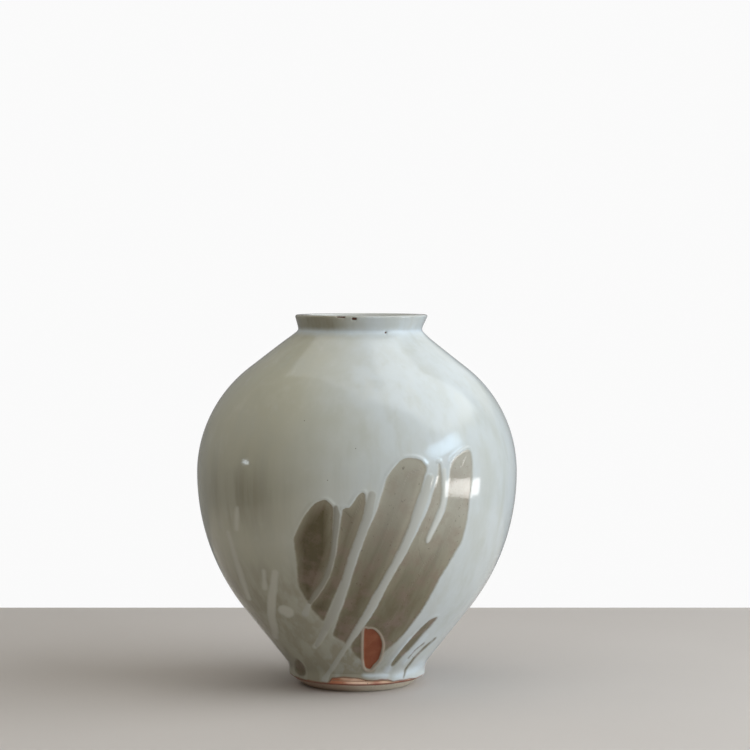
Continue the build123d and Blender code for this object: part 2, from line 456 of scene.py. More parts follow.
hair = [(42.8, 32.4, 0.35), (37.1, 28.1, 0.4), (32.7, 22.6, 0.4)]
scratches = {"scratch": (scratch, 0.8), "hair": (hair, 0.5)}
print("wipes:", ", ".join(wipes), "and", len(scratches), "scratches")

# %% [markdown]
# Between the wipes the glaze ran down in ridges, and at the foot it gathered in pools. Three small chips
# of the lip and neck show the clay. Each of these is a path of points with a half width, so one function
# can measure them all. The tone of a ridge says how much pale slip it carried along.

# %% Runs, pools and chips
leaf_run = [(-12, 125.2, 1.4), (-11.4, 120.6, 2.0), (-12, 113.1, 2.0), (-13.3, 104.3, 2.0),
            (-14.5, 94.8, 2.0), (-17.1, 84.4, 2.0), (-20.9, 76.4, 2.0), (-25.3, 69.2, 1.9),
            (-28.5, 63.9, 1.6)]
leaf_drop = [(-29.3, 61.9, 1.4), (-30.5, 58.9, 1.8), (-31.5, 56, 2.5)]
thin_run = [(9.9, 132.9, 2.4), (7.5, 120.6, 2.6), (3.8, 109.5, 2.7), (-0.8, 97.5, 2.6), (-3.6, 88.5, 2.6),
            (-6.1, 79.4, 2.4), (-9.2, 70, 2.6), (-12.4, 61.2, 2.7), (-16.2, 51.9, 2.5), (-20.2, 43.2, 2.2),
            (-24.8, 33.3, 1.4)]
broad_run = [(45.3, 142.3, 2.4), (41.6, 130.8, 2.8), (37.9, 120.5, 2.8), (33.7, 110, 2.7), (28.8, 98.2, 2.6),
             (23.3, 87.5, 2.4), (17.8, 77.2, 2.3), (12.9, 67.9, 2.2), (8.6, 59.2, 2.1), (3, 49.4, 2.0),
             (-2.7, 39.4, 1.7), (-7.8, 30.6, 1.6), (-12.3, 22.4, 1.6), (-16.2, 15.5, 1.6), (-20.2, 8.3, 2.2)]
drip = [(54, 146.7, 1.2), (54.3, 137.6, 1.5), (54, 129.6, 1.6), (52.5, 122.2, 1.6), (49.7, 115.5, 1.6),
        (46.6, 109.4, 1.6), (44.2, 104.4, 2.2)]
ridges = {"leaf_run": (leaf_run, 0.0), "leaf_drop": (leaf_drop, 0.6), "thin_run": (thin_run, 0.45),
          "broad_run": (broad_run, 0.65), "drip": (drip, 1.0)}
faint_runs = [[(-73.9, 121.5, 1.0), (-74.5, 108, 1.1)],
              [(-80, 105, 1.0), (-76.5, 91, 1.2), (-73, 79, 1.4), (-70, 68, 1.3), (-68, 61, 1.0)],
              [(-57.4, 82.5, 1.0), (-56.9, 71, 1.2)],
              [(-50.1, 82, 1.6), (-52.6, 65, 2.4), (-53.8, 52, 2.4), (-51.5, 35, 1.6)],
              [(-45.5, 57, 3.0), (-42.5, 55.5, 3.2)],
              [(-19.5, 43, 1.4), (-26, 32, 1.2)]]
pools = [[(6, 11, 2.0), (18, 10.5, 2.0)],
         [(25, 9.5, 1.5), (36, 12, 2.5), (41, 15, 3)],
         [(33, 37, 0.6), (24, 24, 0.8), (19, 14, 1.2)],
         [(44, 38, 0.5), (36, 28, 0.6), (30, 19, 0.8)]]
chips = [[(-15, 239.5, 0.5), (-10.8, 239.3, 0.7)],
         [(-5, 238.3, 0.9), (-3.4, 238.1, 0.9)],
         [(16.4, 229.4, 0.55), (16.6, 229.4, 0.55)]]
print(len(ridges) + len(faint_runs), "runs,", len(pools), "pools,", len(chips), "chips")

# %% [markdown]
# What a point of the surface looks like depends on how far it lies from each mark. Painting a picture on
# the jar would tie the marks to its pixels. Distances are worked out afresh at every point, as sharp as
# the mesh allows, and they are negative inside a mark, so one number gives both its middle and its edge.


# %% Distances to the marks
def rise(value, low, high):
    """0 below low, 1 above high, smooth between."""
    t = np.clip((value - low) / (high - low), 0, 1)
    return t * t * (3 - 2 * t)


def smooth_loop(outline, pieces=4):
    """The closed outline with curved sides, by a spline that passes through every corner."""
    corners = np.array(outline, float)
    before, after, beyond = np.roll(corners, 1, 0), np.roll(corners, -1, 0), np.roll(corners, -2, 0)
    loop = []
    for t in np.arange(pieces) / pieces:
        bend = 2 * corners + (after - before) * t
        bend = bend + (2 * before - 5 * corners + 4 * after - beyond) * t ** 2
        loop.append((bend + (3 * corners - before - 3 * after + beyond) * t ** 3) / 2)
    return [tuple(point) for point in np.stack(loop, 1).reshape(-1, 2)]


def stroke_edge(x, z, stroke):
    """Distance in millimetres from each point to the stroke's edge, negative inside the stroke."""
    nearest = np.full(len(x), 1e3)
    for (ax, az, ahalf), (bx, bz, bhalf) in zip(stroke, stroke[1:]):
        dx, dz = bx - ax, bz - az
        along = np.clip(((x - ax) * dx + (z - az) * dz) / (dx * dx + dz * dz), 0, 1)
        gap = np.hypot(x - ax - along * dx, z - az - along * dz)
        nearest = np.minimum(nearest, gap - ahalf - along * (bhalf - ahalf))
    return nearest


def outline_edge(x, z, outline):
    """Distance in millimetres to a closed outline, negative inside, and how steeply the way out climbs."""
    nearest = np.full(len(x), 1e3)
    climb = np.zeros(len(x))
    inside = np.zeros(len(x), bool)
    for (ax, az), (bx, bz) in zip(outline, outline[1:] + outline[:1]):
        dx, dz = bx - ax, bz - az
        along = np.clip(((x - ax) * dx + (z - az) * dz) / (dx * dx + dz * dz), 0, 1)
        up = z - az - along * dz
        gap = np.hypot(x - ax - along * dx, up)
        climb = np.where(gap < nearest, up / np.maximum(gap, 1e-6), climb)
        nearest = np.minimum(nearest, gap)
        crosses = (az > z) != (bz > z)
        inside ^= crosses & (x < ax + dx * (z - az) / (dz if dz else 1e-9))
    return np.where(inside, -nearest, nearest), np.where(inside, -climb, climb)


middle_of_leaf = outline_edge(np.array([-25.0]), np.array([100.0]), leaf)[0][0]
print("the middle of the leaf lies", round(float(-middle_of_leaf), 1), "mm inside its outline")

# %% [markdown]
# The distances are measured at every point of the coat. The nearest wipe hands on its tone and its rim,
# and the rim counts only where the way out of the wipe leads up, because slip gathers above a finger and
# not beside it. The marks belong to the front, so the back is set far away from all of them. The last
# pool is a ring: glaze that gathered all round in the crease of the neck, whose pale colour also paints a
# highlight line along the crease.

# %% Measure the marks
FAR_OFF = 30.0
NECK_CREASE = 229.6
CREASE_HALF = 1.3


def spots(piece):
    """Where the points of the piece lie, with one row of x, y and z for each."""
    places = np.empty(len(piece.data.vertices) * 3)
    piece.data.vertices.foreach_get("co", places)
    return places.reshape(-1, 3)


def nearest_stroke(strokes):
    """Distance from each point of the coat to the nearest of several strokes."""
    return np.minimum.reduce([stroke_edge(across, height, stroke) for stroke in strokes])


points = spots(coat)
across, height = points[:, 0] / MM, points[:, 2] / MM
front = points[:, 1] < 0
reach = np.hypot(points[:, 0], points[:, 1]) / MM
azimuth = np.degrees(np.arctan2(points[:, 0], -points[:, 1]))
turn = np.radians(azimuth)
wipe_edge = np.full(len(points), FAR_OFF)
wipe_tone = np.zeros(len(points))
wipe_rim = np.zeros(len(points))
for outline, tone, rim in wipes.values():
    edge, climb = outline_edge(across, height, smooth_loop(outline))
    wipe_tone = np.where(edge < wipe_edge, tone, wipe_tone)
    wipe_rim = np.where(edge < wipe_edge, rim * rise(climb, 0.1, 0.75), wipe_rim)
    wipe_edge = np.minimum(wipe_edge, edge)
for stroke, tone in scratches.values():
    edge = stroke_edge(across, height, stroke)
    wipe_tone = np.where(edge < wipe_edge, tone, wipe_tone)
    wipe_rim = np.where(edge < wipe_edge, 0, wipe_rim)
    wipe_edge = np.minimum(wipe_edge, edge)
ridge_edge = np.full(len(points), FAR_OFF)
ridge_tone = np.zeros(len(points))
for stroke, tone in ridges.values():
    edge = stroke_edge(across, height, stroke)
    ridge_tone = np.where(edge < ridge_edge, tone, ridge_tone)
    ridge_edge = np.minimum(ridge_edge, edge)
faint_edge = nearest_stroke(faint_runs)
chip_edge = nearest_stroke(chips)
pool_edge = nearest_stroke(pools)
mark_edge = outline_edge(across, height, smooth_loop(bare_mark))[0]
for field in (wipe_edge, ridge_edge, faint_edge, chip_edge, pool_edge, mark_edge):
    field[~front] = FAR_OFF
wipe_rim = wipe_rim * rise(ridge_edge, -0.5, 1.5)
pool_edge = np.minimum(pool_edge, np.abs(height - NECK_CREASE) - CREASE_HALF)
print(int((wipe_edge < 0).sum()), "points are wiped,", int((mark_edge < 0).sum()), "are bare")

# %% [markdown]
# Slip and glaze are never equally thick all round. On the right of this jar, the side that faces the
# light, the glaze lies thick and cool, and it is painted lighter there as well. On the left the slip is
# thin and lets the clay through. Along the hem in front this is thin slip only. Low on the flank, in one
# patch of the belly and on that side of the collar, away from the light, the thin slip is also painted
# shade. These are slow changes over degrees and millimetres, so smooth steps in azimuth and height
# describe them.

# %% Thick and thin places
# The lit right side: the glaze is thick and cool there, and it is also painted cooler and lighter.
cool_lit_side = rise(azimuth, -52, 22) * (1 - rise(azimuth, 110, 180))
# Thin slip that is also painted shade, all on the shaded left: low on the flank, in the belly patch and on
# the collar. The hem in front is thin slip only.
shaded_thin_flank = rise(-azimuth, -2, 30) * rise(azimuth, -135, -85) * rise(-height, -112, -58)
shaded_thin_belly = 0.95 * np.exp(-((azimuth + 46) / 20) ** 2 - ((height - 129) / 23) ** 2)
thin_hem = 1.15 * rise(-height, -50, -26) * rise(-across, -34, -6) * rise(across, -60, -30) * front
shaded_thin_collar = rise(height, 230.5, 232.5) * rise(-azimuth, 0, 25) * rise(azimuth, -140, -90)
thin_slip_and_shade = np.maximum.reduce([shaded_thin_flank, shaded_thin_belly, thin_hem, shaded_thin_collar])
print("slip is thin on", round(100 * float((thin_slip_and_shade > 0.5).mean())), "% of the coat's points")

# %% [markdown]
# A bump in the finish would vanish at the outline and leave the mesh itself smooth, so relief moves the
# points themselves. Moving them one by one in Python would work too, but a modifier is what a modeller
# would reach for: heights are painted as a weight group, and a Displace modifier pushes the surface by them.


# %% Painted weights
def paint(piece, name, weights):
    """A vertex group with one weight for each point."""
    group = piece.vertex_groups.new(name=name)
    for index in np.flatnonzero(weights > 1e-4):
        group.add([int(index)], float(weights[index]), "REPLACE")
    return name


def push(piece, name, weights, distance, direction="NORMAL"):
    """Displaces the piece by painted weights and applies the modifier."""
    modifier = piece.modifiers.new(name, "DISPLACE")
    modifier.vertex_group = paint(piece, name, weights)
    modifier.direction = direction
    modifier.mid_level = 0
    modifier.strength = distance
    bpy.context.view_layer.objects.active = piece
    bpy.ops.object.modifier_apply(modifier=name)
    piece.vertex_groups.remove(piece.vertex_groups[name])


print("weights can push", len(points), "points of the coat")

# %% [markdown]
# Relief follows from the distances. Wiped places lie lower, their upper rims are rolled up a little, runs
# stand proud with a round back, and the bare mark goes down almost to the clay. A weight can't be
# negative, so what is sunk and what stands proud are pushed one after the other along the normals.
# Nothing may stand out past the widest line, so the relief is held to the room that is left there.

# %% Relief
FULL_RELIEF = 1.2
WIPE_DEPTH = 0.55
RIM_HEIGHT = 0.34
RUN_HEIGHT = 0.4
FAINT_HEIGHT = 0.2
POOL_HEIGHT = 0.45
MARK_RIM = 0.4
MARK_DEPTH = 1.1
CHIP_DEPTH = 0.7


def relief_height():
    """Height of the coat above its plain surface in millimetres."""
    hollow = -WIPE_DEPTH * rise(-wipe_edge, -0.5, 1.1)
    rim = RIM_HEIGHT * wipe_rim * rise(wipe_edge, -0.3, 0.8) * rise(-wipe_edge, -3.0, -0.9)
    run = RUN_HEIGHT * np.sqrt(np.clip(-ridge_edge, 0, 2.4) / 2.4)
    faint = FAINT_HEIGHT * np.sqrt(np.clip(-faint_edge, 0, 2.0) / 2.0)
    pool = POOL_HEIGHT * rise(-pool_edge, -2.5, 2.5)
    mark_rim = MARK_RIM * rise(mark_edge, -0.2, 0.8) * rise(-mark_edge, -2.8, -1.0)
    total = np.maximum(hollow + rim, 0.55 * hollow + run) + faint + pool + mark_rim
    total = total - CHIP_DEPTH * rise(-chip_edge, -0.6, 0.5)
    bare = total * rise(mark_edge, -0.1, 0.9) - MARK_DEPTH * rise(-mark_edge, -0.5, 0.5)
    return np.where(mark_edge < 1.0, bare, total)


clay_reach = np.interp(height, [p[1] / MM for p in clay_line], [p[0] / MM for p in clay_line])
outer = reach > clay_reach + 0.6
room = belly_radius / MM / np.maximum(abs(np.cos(turn)), abs(np.sin(turn))) - reach
relief = np.minimum(np.where(outer, relief_height(), 0), np.maximum(room, 0))
push(coat, "sunk", np.clip(-relief / FULL_RELIEF, 0, 1), -FULL_RELIEF * MM)
push(coat, "proud", np.clip(relief / FULL_RELIEF, 0, 1), FULL_RELIEF * MM)
print("relief from", round(float(relief.min()), 2), "to", round(float(relief.max()), 2), "mm")

# %% [markdown]
# The glaze line is never level. It creeps down at the sides and stops short in front, where a narrow
# arch of bare clay shows. A level cut would look machined, so the lowest rows are lifted by an amount
# that changes around the foot. The fields are then stored on the points, for the finish to read.

# %% Glaze line at the foot
FULL_LIFT = 4.2
arch = rise(azimuth, -25, -20) * rise(-azimuth, -33, -26) * (3.5 - 1.9 * rise(azimuth, -3, 10))
wander = 0.5 + 0.35 * np.sin(3 * turn + 0.6) + 0.25 * np.sin(7 * turn + 2.0) + 0.2 * np.sin(23 * turn)
lift = np.clip(arch + 0.8 * np.clip(wander, 0, 1), 0, FULL_LIFT) / FULL_LIFT
push(coat, "glaze_line", lift * rise(-height, -15, -7), FULL_LIFT * MM, "Z")
marks = {"wiped": wipe_edge, "tone": wipe_tone, "rim": wipe_rim, "mark": mark_edge, "ridge": ridge_edge,
         "ridge_tone": ridge_tone, "faint": faint_edge, "chip": chip_edge, "pool": pool_edge, "cool_lit_side": cool_lit_side,
         "thin_slip_and_shade": thin_slip_and_shade, "hem": height - glaze_line / MM}
for name, field in marks.items():
    layer = coat.data.attributes.new(name, "FLOAT", "POINT")
    layer.data.foreach_set("value", np.clip(field, -FAR_OFF, FAR_OFF).astype(np.float32))
print("glaze line lifted by up to", round(float(lift.max() * FULL_LIFT), 2), "mm;", len(marks), "fields")

# %% [markdown]
# The finish of the coat starts from noises at the scales of the real surface. Clouds are thick and thin
# glaze, drifts and streaks are slip that ran while it was wet, the mottle is what the kiln did, the grain
# is sand in the clay, and the brush is the slanting drag of a finger. Streaks are a noise that is
# squeezed across and left long upright.

# %% Patterns in the glaze
STROKE_SLANT = radians(-20)


def glaze_patterns(finish):
    place = finish.place()
    slant = finish.mapped(place, Rotation=(0.0, STROKE_SLANT, 0.0))
    return SimpleNamespace(
        cloud=finish.noise(place, 16.0, 4.0, 0.55),
        mottle=finish.noise(place, 95.0, 4.0, 0.6),
        grain=finish.noise(place, 430.0, 3.0, 0.6),
        drift=finish.noise(finish.mapped(place, Scale=(42.0, 42.0, 20.0)), 1.0, 4.0, 0.6),
        streak=finish.noise(finish.mapped(place, Scale=(95.0, 95.0, 11.0)), 1.0, 3.0, 0.55),
        brush=finish.noise(finish.mapped(slant, Scale=(260.0, 120.0, 14.0)), 1.0),
        height=finish.axis(2))


glaze = Finish("slip under clear glaze")
pattern = glaze_patterns(glaze)
print("patterns:", ", ".join(vars(pattern)))

# %% [markdown]
# The stored distances become masks. A clean edge would look cut out, so the mottle and the grain are
# added to a distance before the step. The edge is crisp where the slip rolled up and softer elsewhere.


# %% Masks from the marks
def glaze_masks(finish, pattern):
    mottle = pattern.mottle - 0.5
    grain = pattern.grain - 0.5
    edge = finish.attribute("wiped")
    mark = finish.attribute("mark")
    rim = finish.attribute("rim")
    soft = 0.9 - rim * 0.55
    rough_edge = edge + mottle * 1.5 + grain * 0.7
    return SimpleNamespace(
        edge=edge,
        mark=mark,
        rim=rim,
        wiped=finish.step(-rough_edge, -soft, soft),
        bare=finish.step(grain * 0.4 - mark, -0.15, 0.15),
        ridge=finish.step(mottle * 0.9 - finish.attribute("ridge"), -0.6, 0.8),
        faint=finish.step(mottle * 2.2 - finish.attribute("faint"), -1.4, 1.0),
        chip=finish.step(grain * 0.6 - finish.attribute("chip"), -0.2, 0.25),
        pool=finish.step(mottle * 4.0 - finish.attribute("pool"), -2.6, 2.2),
        hem=finish.step(mottle * 2.4 - finish.attribute("hem"), -1.5, -0.3))


mask = glaze_masks(glaze, pattern)
print("masks:", ", ".join(vars(mask)))

# %% [markdown]
# Pale slip is the ground. It is cool where the glaze is thick and olive where it is thin. It is also
# painted cooler and lighter on the right, which faces the light, and more olive and darker on the shaded
# left, where the thin slip also stands for painted shade. Drifts and streaks keep any stretch of it from
# being one flat colour. Runs and pools lie on it, and the pools carry a painted highlight as well as
# bluish glaze. The edge of the lip is worn to a warmer tone. Each of these is one more mix on top of the
# last.

# %% Colour of the slip
OLIVE_SHADED_SLIP = (0.465, 0.455, 0.36, 1)
COOL_LIT_SLIP = (0.545, 0.585, 0.588, 1)
DULL_DRIFT = (0.43, 0.43, 0.36, 1)
LIGHT_DRIFT = (0.56, 0.565, 0.50, 1)
DULL_STREAK = (0.44, 0.45, 0.39, 1)
LIGHT_MOTTLE = (0.62, 0.64, 0.62, 1)
THIN_SLIP_AND_SHADE = (0.305, 0.29, 0.22, 1)
FAINT_RUN = (0.51, 0.505, 0.445, 1)
DARK_RUN = (0.205, 0.19, 0.145, 1)
PALE_RUN = (0.57, 0.58, 0.535, 1)
POOLED_GLAZE_AND_HIGHLIGHT = (0.60, 0.67, 0.71, 1)
WORN_LIP = (0.36, 0.32, 0.25, 1)


def slip_colour(finish, pattern, mask):
    # Painted light and shade: cool and light on the lit right, olive and darker on the shaded left.
    side = finish.attribute("cool_lit_side") * 0.9 + (pattern.cloud - 0.5) * 0.9
    slip = finish.mix(finish.step(side, 0.0, 1.0), OLIVE_SHADED_SLIP, COOL_LIT_SLIP)
    slip = finish.mix(finish.step(pattern.drift, 0.4, 0.7) * 0.35, slip, DULL_DRIFT)
    slip = finish.mix(finish.step(-pattern.drift, -0.47, -0.3) * 0.3, slip, LIGHT_DRIFT)
    slip = finish.mix(finish.step(pattern.streak, 0.48, 0.75) * 0.35, slip, DULL_STREAK)
    slip = finish.mix(finish.step(pattern.mottle, 0.55, 0.8) * 0.2, slip, LIGHT_MOTTLE)
    # Thin slip, darker, which on the shaded left flank, belly patch and collar is painted shade.
    thin = finish.attribute("thin_slip_and_shade") * (0.55 + 0.6 * finish.step(pattern.streak, 0.35, 0.65))
    slip = finish.mix(thin * (1 - mask.faint), slip, THIN_SLIP_AND_SHADE)
    slip = finish.mix(mask.faint * 0.65, slip, FAINT_RUN)
    run = finish.mix(finish.attribute("ridge_tone"), DARK_RUN, PALE_RUN)
    slip = finish.mix(mask.ridge * 0.8, slip, run)
    # Bluish pooled glaze, made light as a painted highlight, also in the crease of the neck.
    slip = finish.mix(mask.pool * 0.8, slip, POOLED_GLAZE_AND_HIGHLIGHT)
    worn = finish.step(pattern.height + (pattern.grain - 0.5) * 0.002, 0.2388, 0.2398)
    return finish.mix(worn * 0.35, slip, WORN_LIP)


slip = slip_colour(glaze, pattern, mask)
print("slip colour uses", len(glaze.tree.nodes), "nodes so far")

# %% [markdown]
# In the wipes the iron of the clay shows through the glaze, darkest in the heart of a stroke and low on
# the jar. The tops of the pale wipes are lighter and milky: partly a film of slip that was left there,
# and partly a painted highlight where the upper wipes face the light. Rust mottles the low parts, and
# small dark specks of iron lie everywhere in them.

# %% Colour of the wipes
THIN_IRON = (0.335, 0.31, 0.22, 1)
DEEP_IRON = (0.085, 0.066, 0.026, 1)
MILKY_TOP_AND_HIGHLIGHT = (0.44, 0.43, 0.385, 1)
RUST = (0.235, 0.165, 0.13, 1)
IRON_SPECK = (0.07, 0.045, 0.03, 1)


def wipe_colour(finish, pattern, mask):
    tone = finish.attribute("tone")
    heart = finish.step((pattern.cloud - 0.5) * 4.0 - mask.edge, -1.0, 10.0)
    low = finish.step(-pattern.height, -0.15, -0.03)
    depth = tone * (0.3 + 0.75 * heart) + low * 0.46 + (pattern.brush - 0.5) * 0.45
    iron = finish.mix(depth, THIN_IRON, DEEP_IRON)
    # Milky film of slip on the tops of the paler wipes, partly a painted highlight.
    iron = finish.mix(finish.step(pattern.height, 0.06, 0.155) * (1 - tone) * 0.95, iron, MILKY_TOP_AND_HIGHLIGHT)
    iron = finish.mix(finish.step(pattern.mottle, 0.42, 0.68) * (0.2 + low * 0.45), iron, RUST)
    return finish.mix(finish.step(pattern.grain, 0.62, 0.74) * 0.45, iron, IRON_SPECK)


iron = wipe_colour(glaze, pattern, mask)
print("slip and wipes use", len(glaze.tree.nodes), "nodes")

# %% [markdown]
# Faults make a glaze look fired. The hem above the foot is rusty, the bare mark has a pale roll round it,
# and pinholes are scattered where gas broke through. Modelling each pinhole would cost thousands of
# faces, so they are the middles of a few cells of a Voronoi pattern, picked by the colour of the cell.

# %% Faults of the glaze
RUSTY_HEM = (0.26, 0.11, 0.06, 1)
MARK_ROLL = (0.43, 0.36, 0.29, 1)
PINHOLE = (0.06, 0.04, 0.028, 1)
RED_CLAY = (0.225, 0.058, 0.022, 1)
LIGHT_CLAY = (0.31, 0.10, 0.045, 1)
DARK_CHIP = (0.10, 0.042, 0.028, 1)


def pinholes(finish):
    cell = {"Vector": finish.place(), "Scale": 75.0}
    gap = finish.add("ShaderNodeTexVoronoi", {}, cell)
    cell_colour = finish.add("ShaderNodeTexVoronoi", {}, cell, output=1)
    pick = finish.add("ShaderNodeSeparateColor", {}, {0: cell_colour})
    return finish.step(-gap, -0.034, -0.012) * finish.step(pick, 0.6, 0.62)


def with_faults(finish, pattern, mask, pit, colour):
    colour = finish.mix(mask.hem * 0.7, colour, RUSTY_HEM)
    roll = finish.step(mask.mark, 0.0, 0.4) * finish.step(-mask.mark, -2.3, -1.3)
    colour = finish.mix(roll * 0.75, colour, MARK_ROLL)
    colour = finish.mix(pit * 0.8, colour, PINHOLE)
    clay = finish.mix(finish.step(pattern.mottle, 0.3, 0.7), RED_CLAY, LIGHT_CLAY)
    colour = finish.mix(mask.bare, colour, clay)
    return finish.mix(mask.chip, colour, DARK_CHIP)


pit = pinholes(glaze)
colour = with_faults(glaze, pattern, mask, pit, glaze.mix(mask.wiped, slip, iron))
print("with its faults the glaze uses", len(glaze.tree.nodes), "nodes")

# %% [markdown]
# Clear glaze lies over everything but the bare mark and the chips, which stay dull. Its skin is faintly
# uneven, more so in the wipes, and that breaks up the highlights. The points carry the relief, and two
# bumps add only what is finer than the mesh: the sharp edge of a rim, then the orange-peel of the skin.

# %% Skin of the glaze
rim_roll = glaze.step(-mask.edge, -2.6, -0.9) * mask.rim
rim_bump = glaze.bump(rim_roll * 0.35 - mask.wiped * 0.3, 0.6, 0.0009)
uneven = (0.5 + mask.wiped * 1.2) * (pattern.mottle + pattern.grain * 0.3) - pit * 0.8
skin = glaze.bump(uneven, 0.14, 0.0008, rim_bump)
dull = 0.09 + mask.bare.most(mask.chip) * 0.6
coat.data.materials.append(glaze.surface(Base_Color=colour, Roughness=dull, Normal=skin, IOR=1.5))
print("glaze finish has", len(glaze.tree.nodes), "nodes")

# %% [markdown]
# The foot was trimmed on the wheel with a loop tool, so fine rings run round its bevel. They are deep
# enough to catch the light, so they are drawn into the profile of the ring instead of a bump: down the
# bore, out along the contact face, up the bevel in small steps, and back across the seat.

# %% Turned foot
foot_clay = foot_radius - coat_thickness
foot_height = 8.0 * MM
bore_radius = 27.0 * MM
bore_chamfer = 1.5 * MM
contact_radius = 34.5 * MM
contact_round = 1.2 * MM
bevel_height = 5.8 * MM
ring_depth = 0.16 * MM
ring_count = 7


def turned_bevel(count):
    """Points up the bevel with a shallow groove between each ring and the next."""
    start, end = (contact_radius, 0.25 * MM), (foot_clay - 0.3 * MM, bevel_height)
    run = way(start, end)
    inward = unit((-run[1], run[0]))
    line = []
    for i in range(2 * count + 1):
        point = ahead(start, run, i / (2 * count))
        line.append(ahead(point, inward, ring_depth if i % 2 else 0))
    return line


foot_line = [(bore_radius, foot_height), (bore_radius, bore_chamfer), (bore_radius + bore_chamfer, 0.1 * MM)]
foot_line += [(bore_radius + 2 * bore_chamfer, 0), (contact_radius - contact_round, 0)]
foot_line += turned_bevel(ring_count)
foot_line += [(foot_clay, bevel_height + 0.4 * MM), (foot_clay, foot_height)]
foot = throw("turned_foot", foot_line, front_steps=96, back_steps=64, closed=True)

# %% [markdown]
# Inside, a liner of glaze makes the jar hold water. Its line follows the inner wall from the middle of
# the floor to the middle of the lip, and comes back along the clay. The same tangent points as outside
# serve here, only deeper, so the wall keeps one thickness.

# %% Throw the liner
floor_top = (8.6 + 9.0) * MM
floor_round = 22 * MM
throat_round = 3 * MM
liner_depth = coat_thickness + bowl_wall


def inside_line(skin, top, step):
    """Radius and height of the hollow, a skin of glaze above the clay, from the floor to the lip."""
    depth = liner_depth + skin
    flank, shoulder, _ = side_lines(depth)
    low_end, belly, high_end = belly_tangents(depth)
    collar = side_lines(depth - bowl_wall + collar_wall)[2]
    floor = floor_top + skin
    floor_corner = meet((0, floor), (1, 0), flank, flank_up)
    throat = meet(shoulder, shoulder_up, collar, collar_up)
    lip_corner = meet(collar, collar_up, (0, top), (1, 0))
    floor_bend = rounded((0, floor), floor_corner, low_end, floor_round - skin, step)
    throat_bend = rounded(high_end, throat, lip_corner, throat_round + skin, step / 3)
    lip_bend = rounded(throat, lip_corner, (lip_middle, top), lip_round, step / 5)
    line = straight((0, floor), floor_bend[0], step) + floor_bend[:-1]
    line += straight(floor_bend[-1], low_end, step) + arc(low_end, flank_up, belly, step)
    line += arc(belly, (0, 1), high_end, step) + straight(high_end, throat_bend[0], step)
    line += throat_bend[:-1] + straight(throat_bend[-1], lip_bend[0], step / 2) + lip_bend
    return line + [(lip_middle, top)]


liner_line = inside_line(skin=glaze_thickness, top=jar_height, step=1.8 * MM)
backing_line = inside_line(skin=0, top=jar_height - coat_thickness, step=9 * MM)
liner_ring = liner_line + backing_line[::-1]
liner = throw("inner_liner", liner_ring, front_steps=96, back_steps=96, closed=False)

# %% [markdown]
# The hollow keeps the rings of throwing: a shallow spiral that rises under the fingers. The profile alone
# could only give level rings. A weight that turns with the height gives the spiral, and it calms down at
# the floor and in the throat, where the potter smoothed the wall.

# %% Throwing rings
RING_PITCH = 9.5 * MM
RING_HEIGHT = 0.5 * MM
inner = spots(liner)
spiral = 0.5 + 0.5 * np.sin(2 * pi * inner[:, 2] / RING_PITCH + np.arctan2(inner[:, 1], inner[:, 0]))
calm = rise(inner[:, 2], 0.022, 0.04) * rise(-inner[:, 2], -0.222, -0.205)
push(liner, "throwing_rings", spiral * calm, RING_HEIGHT)
print("liner spans", round(float(inner[:, 2].min()), 4), "to", round(float(inner[:, 2].max()), 4), "m")

# %% [markdown]
# The liner glaze is the same family as the outside but was poured in one go, so it is cloudier and has
# no wipes. Brown mottles show where it is thin. Near the lip it is painted lighter, as painted light that
# falls into the mouth where the liner meets the coat.

# %% Liner finish
LINER_OLIVE = (0.46, 0.45, 0.37, 1)
LINER_PALE = (0.58, 0.59, 0.53, 1)
LINER_BROWN = (0.24, 0.20, 0.14, 1)
LIT_LINER_LIP = (0.60, 0.61, 0.58, 1)


def liner_finish():
    finish = Finish("liner glaze")
    place = finish.place()
    cloud = finish.noise(place, 22.0, 4.0, 0.6)
    mottle = finish.noise(place, 140.0, 3.0, 0.6)
    colour = finish.mix(finish.step(cloud, 0.35, 0.7), LINER_OLIVE, LINER_PALE)
    colour = finish.mix(finish.step(mottle, 0.6, 0.78) * 0.4, colour, LINER_BROWN)
    # Painted light: the liner is lighter near the lip, where light falls into the mouth.
    colour = finish.mix(finish.step(finish.axis(2), 0.222, 0.234) * 0.85, colour, LIT_LINER_LIP)
    skin = finish.bump(mottle, 0.12, 0.0008)
    return finish.surface(Base_Color=colour, Roughness=0.1 + cloud * 0.15, Normal=skin)


liner.data.materials.append(liner_finish())
print("liner finish has", len(liner.data.materials[0].node_tree.nodes), "nodes")

# %% [markdown]
# Bare stoneware is brown-grey on the trimmed bevel and flashes orange where the glaze stopped, because
# the iron there oxidised as the kiln cooled. The colours change with the height above the table and from
# left to right. The flash changes as the flame passed, with a peach patch in front that is partly a
# painted highlight. The body is darker and redder on the left, away from the light, and paler on the
# right, which is partly its own colour and partly painted shade. A dark line marks where wet glaze ended.

# %% Clay finish
BROWN_SHADED_BODY = (0.50, 0.37, 0.28, 1)
PALE_LIT_BODY = (0.68, 0.62, 0.51, 1)
RED_FLASH = (0.50, 0.19, 0.10, 1)
LIGHT_FLASH = (0.80, 0.55, 0.37, 1)
PEACH_FLASH_AND_HIGHLIGHT = (0.95, 0.70, 0.54, 1)
EMBER_FLASH = (0.46, 0.13, 0.10, 1)
SCORCHED_LINE = (0.20, 0.045, 0.028, 1)
DARK_GRIT = (0.10, 0.055, 0.035, 1)


